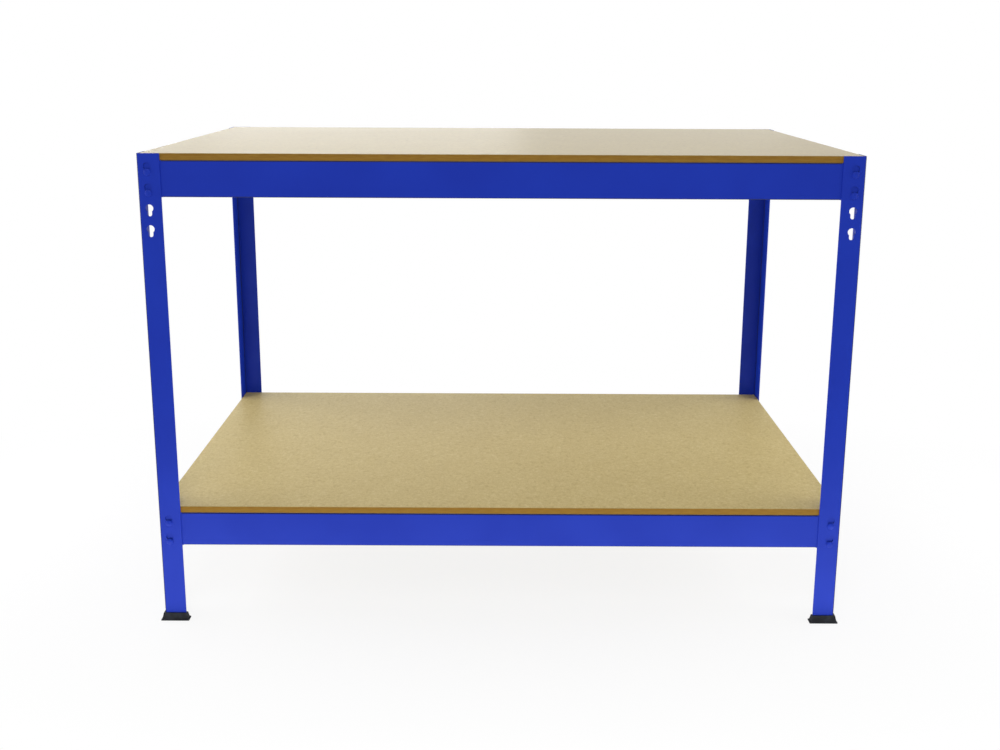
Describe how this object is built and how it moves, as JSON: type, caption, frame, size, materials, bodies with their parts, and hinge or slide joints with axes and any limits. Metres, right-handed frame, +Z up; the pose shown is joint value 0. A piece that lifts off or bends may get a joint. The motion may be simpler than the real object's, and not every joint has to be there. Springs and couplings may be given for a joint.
{
  "type": "workbench",
  "caption": "Boltless steel workbench with a worktop and a lower shelf: folded angle posts with keyholes, beams hooked in by rivets, loose wood-fibre boards, moulded feet.",
  "frame": {"origin": "on the floor, under the middle of the bench", "axes": "+X along the width to the right as seen from the front, +Y along the depth to the rear, +Z up"},
  "size_m": [1.212, 0.612, 0.838],
  "materials": {
    "blue_powder_coat": "satin powder coat",
    "fibre_board": "bare wood-fibre board",
    "black_foot": "moulded, matt"
  },
  "bodies": {
    "frame": {"front_left_post": "blue_powder_coat", "front_right_post": "blue_powder_coat", "rear_right_post": "blue_powder_coat", "rear_left_post": "blue_powder_coat", "front_left_foot": "black_foot", "front_right_foot": "black_foot", "rear_right_foot": "black_foot", "rear_left_foot": "black_foot", "top_front_beam": "blue_powder_coat", "lower_front_beam": "blue_powder_coat", "top_right_beam": "blue_powder_coat", "lower_right_beam": "blue_powder_coat", "top_rear_beam": "blue_powder_coat", "lower_rear_beam": "blue_powder_coat", "top_left_beam": "blue_powder_coat", "lower_left_beam": "blue_powder_coat", "top_front_rivets": "blue_powder_coat", "lower_front_rivets": "blue_powder_coat", "top_right_rivets": "blue_powder_coat", "lower_right_rivets": "blue_powder_coat", "top_rear_rivets": "blue_powder_coat", "lower_rear_rivets": "blue_powder_coat", "top_left_rivets": "blue_powder_coat", "lower_left_rivets": "blue_powder_coat"},
    "worktop": {"worktop_board": "fibre_board"},
    "lower_shelf": {"lower_board": "fibre_board"}
  },
  "joints": [
    {"name": "worktop_lift", "type": "slide", "parent": "frame", "child": "worktop", "axis": [0, 0, 1], "range_m": [0, 0.15]},
    {"name": "lower_board_lift", "type": "slide", "parent": "frame", "child": "lower_shelf", "axis": [0, 0, 1], "range_m": [0, 0.5]}
  ]
}
